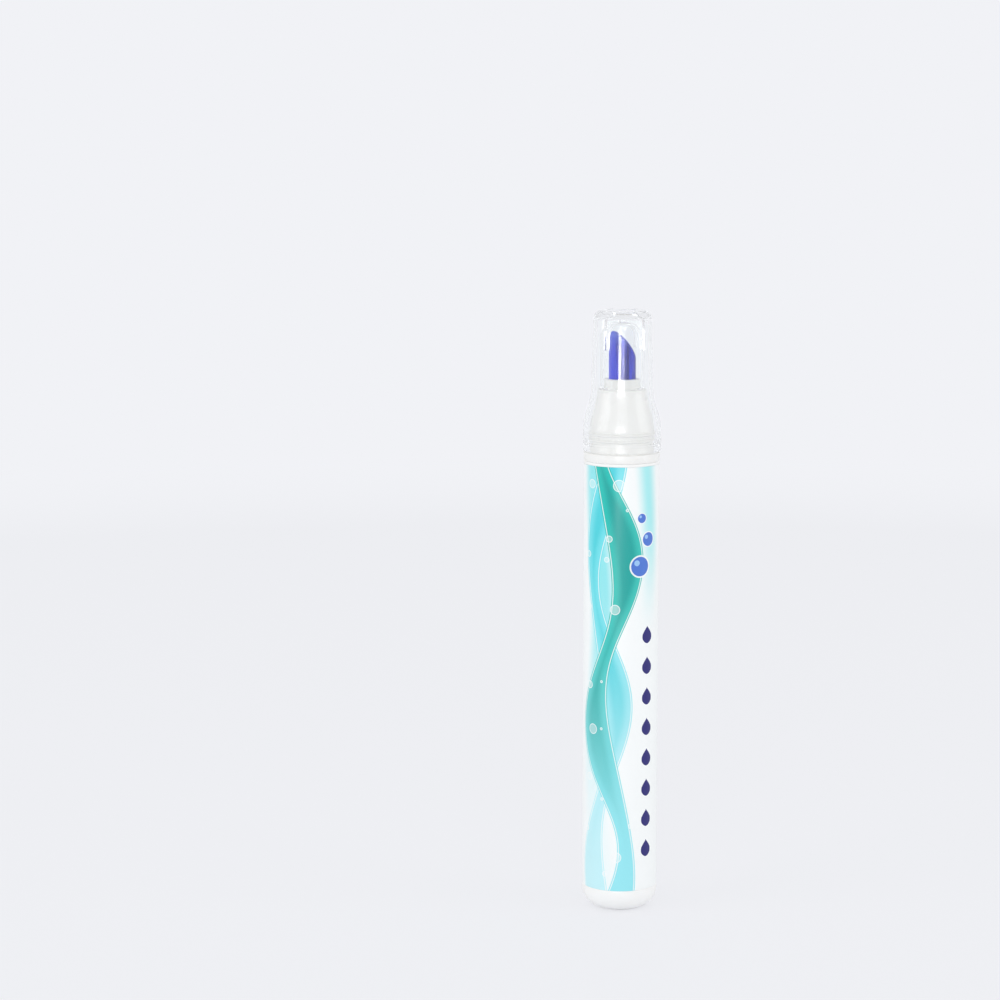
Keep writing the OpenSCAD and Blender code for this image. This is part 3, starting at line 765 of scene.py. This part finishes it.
valve = {
    "holderAcetal": {"on": ("nib_holder",), "colour": "#eef0ee", "roughness": 0.42, "grain": 0.8,
                     "depth": 0.02},
    "valvePolypropylene": {"on": ("valve_plunger", "valve_cage"), "colour": "#dfe4e8",
                           "roughness": 0.38, "grain": 0.9, "depth": 0.02},
    "sealNitrileRubber": {"on": ("valve_seat", "plunger_seal"), "colour": "#242426",
                          "roughness": 0.6, "grain": 0.5, "depth": 0.03},
}
skinMottle = 0.86  # how dark the mottling goes, as a share of the colour
skinBump = 0.2


def plainMoulding(name, m):
    # small moulded or pressed piece: even colour, a little mottled by its skin
    material, tree, shader, coords = newMaterial(name, Roughness=m["roughness"])
    skin = addNode(tree, "ShaderNodeTexNoise", {
        "Vector": coords, "Scale": 1 / (m["grain"] * mm), "Detail": 3.0})
    ramp = addNode(tree, "ShaderNodeValToRGB", {"Fac": skin})
    full = linearColour(m["colour"])
    ramp.color_ramp.elements[0].color = (*(c * skinMottle for c in full[:3]), 1)
    ramp.color_ramp.elements[1].color = full
    tree.links.new(ramp.outputs[0], shader.inputs["Base Color"])
    bump = addNode(tree, "ShaderNodeBump", {
        "Height": skin, "Strength": skinBump, "Distance": m["depth"] * mm})
    tree.links.new(bump.outputs[0], shader.inputs["Normal"])
    return material


def springWire():
    # drawn stainless wire: bright metal with fine drawing lines round each turn
    material, tree, shader, coords = newMaterial("drawnStainlessWire", Metallic=1.0, Roughness=0.25)
    lines = addNode(tree, "ShaderNodeTexNoise", {
        "Vector": coords, "Scale": 1 / (0.08 * mm), "Detail": 2.0})
    ramp = addNode(tree, "ShaderNodeValToRGB", {"Fac": lines})
    ramp.color_ramp.elements[0].color = linearColour("#9a9c9f")
    ramp.color_ramp.elements[1].color = linearColour("#cfd1d3")
    tree.links.new(ramp.outputs[0], shader.inputs["Base Color"])
    return material


for finish, look in valve.items():
    material = plainMoulding(finish, look)
    for nodeName in look["on"]:
        dress(nodes[nodeName], material)
dress(returnSpring, springWire())
print("valve dressed")


# camera: the photograph's framing, in its own 1000 by 1000 pixels

shot = {
    "azimuth": -4.0, "elevation": 8.5, "distance": 650.0, "pixelsPerMm": 4.463,
    "penX": 621.5, "footY": 912.4, "frame": 1000, "sensor": 36.0, "clip": (0.01, 20),
}


def makeCamera(s):
    turn, lift = math.radians(s["azimuth"]), math.radians(s["elevation"])
    back = (math.sin(turn) * math.cos(lift), -math.cos(turn) * math.cos(lift), math.sin(lift))
    right = (math.cos(turn), math.sin(turn), 0)
    aside = (s["penX"] - s["frame"] / 2) / s["pixelsPerMm"]
    aimZ = (s["footY"] - s["frame"] / 2) / s["pixelsPerMm"] / math.cos(lift)
    aim = (-right[0] * aside, -right[1] * aside, aimZ)
    place = [(aim[i] + back[i] * s["distance"]) * mm for i in range(3)]
    bpy.ops.object.camera_add(location=place, rotation=(math.pi / 2 - lift, 0, turn))
    camera = bpy.context.object
    camera.data.lens = s["pixelsPerMm"] * s["distance"] / s["frame"] * s["sensor"]
    camera.data.sensor_width = s["sensor"]
    camera.data.clip_start, camera.data.clip_end = s["clip"]
    bpy.context.scene.camera = camera


makeCamera(shot)


# studio: a pale floor that runs out into a pale world, with soft lamps

studio = {
    "ground": "#f1f2f6", "floorRadius": 3.0, "floorRoughness": 0.9, "floorGloss": 0.05,
    # the share of the floor that the camera sees as its plain colour, growing away from the pen
    "plainShare": 0.75, "fadeFrom": 0.16, "fadeTo": 0.75,
    "worldLight": 0.79,
    "lamps": [
        {"name": "keyLamp", "place": (-1.05, -0.42, 0.42), "aim": (0, 0, 0.07),
         "size": (0.7, 0.8), "watts": 2.2, "shows": ("diffuse", "glossy")},
        {"name": "fillLamp", "place": (0.9, -0.4, 0.3), "aim": (0, 0, 0.07),
         "size": (0.6, 0.8), "watts": 1.45, "shows": ("diffuse", "glossy")},
        # lifts the middle of the barrel without a stripe of gloss down it
        {"name": "frontLamp", "place": (-0.1, -1.1, 0.35), "aim": (0, 0, 0.07),
         "size": (0.7, 0.7), "watts": 1.75, "shows": ("diffuse",)},
        # two cards that show only in gloss: the upright streaks on the clear cap
        {"name": "brightCard", "place": (-0.178, -0.6, 0.107), "aim": (0, 0, 0.1),
         "size": (0.12, 0.07), "watts": 0.68, "shows": ("glossy",)},
        {"name": "dimCard", "place": (-0.03, -0.6, 0.107), "aim": (0, 0, 0.1),
         "size": (0.13, 0.07), "watts": 0.16, "shows": ("glossy",)},
    ],
}


def seenPlain(tree):  # 1 for rays from the camera, from gloss and through clear walls
    path = addNode(tree, "ShaderNodeLightPath").outputs
    seen = addNode(tree, "ShaderNodeMath", [path["Is Camera Ray"], path["Is Glossy Ray"]],
                   operation="MAXIMUM")
    return addNode(tree, "ShaderNodeMath", [seen, path["Is Transmission Ray"]], operation="MAXIMUM")


def makeFloor(s):
    ground = linearColour(s["ground"])
    bpy.ops.object.select_all(action="DESELECT")
    bpy.ops.mesh.primitive_circle_add(vertices=96, radius=s["floorRadius"], fill_type="NGON")
    floor = bpy.context.object
    floor.name = "floor"
    material, tree, shader, coords = newMaterial(
        "paintedFloor", Base_Color=ground, Roughness=s["floorRoughness"],
        Specular_IOR_Level=s["floorGloss"])
    away = addNode(tree, "ShaderNodeVectorMath", [coords], operation="LENGTH")
    fade = addNode(tree, "ShaderNodeMapRange", {
        "Value": away.outputs["Value"], "From Min": s["fadeFrom"], "From Max": s["fadeTo"]},
        interpolation_type="SMOOTHSTEP")
    plain = addNode(tree, "ShaderNodeMath", [fade, s["plainShare"]], operation="MAXIMUM")
    share = addNode(tree, "ShaderNodeMath", [plain, seenPlain(tree)], operation="MULTIPLY")
    glow = addNode(tree, "ShaderNodeEmission", {"Color": ground, "Strength": 1.0})
    mix = addNode(tree, "ShaderNodeMixShader", [share, shader, glow])
    tree.links.new(mix.outputs[0], tree.nodes["Material Output"].inputs["Surface"])
    floor.data.materials.append(material)


def makeWorld(s):
    world = bpy.data.worlds.new("studioWorld")
    bpy.context.scene.world = world
    world.use_nodes = True
    tree = world.node_tree
    seen = tree.nodes["Background"]
    seen.inputs["Color"].default_value = linearColour(s["ground"])
    seen.inputs["Strength"].default_value = 1.0
    light = addNode(tree, "ShaderNodeBackground", {"Color": (1, 1, 1, 1), "Strength": s["worldLight"]})
    mix = addNode(tree, "ShaderNodeMixShader", [seenPlain(tree), light, seen])
    tree.links.new(mix.outputs[0], tree.nodes["World Output"].inputs["Surface"])


def hangLamp(lamp):
    bpy.ops.object.light_add(type="AREA", location=lamp["place"])
    made = bpy.context.object
    made.name = lamp["name"]
    made.data.shape = "RECTANGLE"
    made.data.size, made.data.size_y = lamp["size"]
    made.data.energy = lamp["watts"]
    made.visible_diffuse = "diffuse" in lamp["shows"]
    made.visible_glossy = "glossy" in lamp["shows"]
    toward = [lamp["aim"][i] - lamp["place"][i] for i in range(3)]
    flat = math.hypot(toward[0], toward[1])
    made.rotation_euler = (math.pi / 2 + math.atan2(toward[2], flat), 0,
                           math.atan2(toward[1], toward[0]) - math.pi / 2)


makeFloor(studio)
makeWorld(studio)
for lamp in studio["lamps"]:
    hangLamp(lamp)
bpy.context.scene.view_settings.view_transform = "Standard"
print("studio lit")
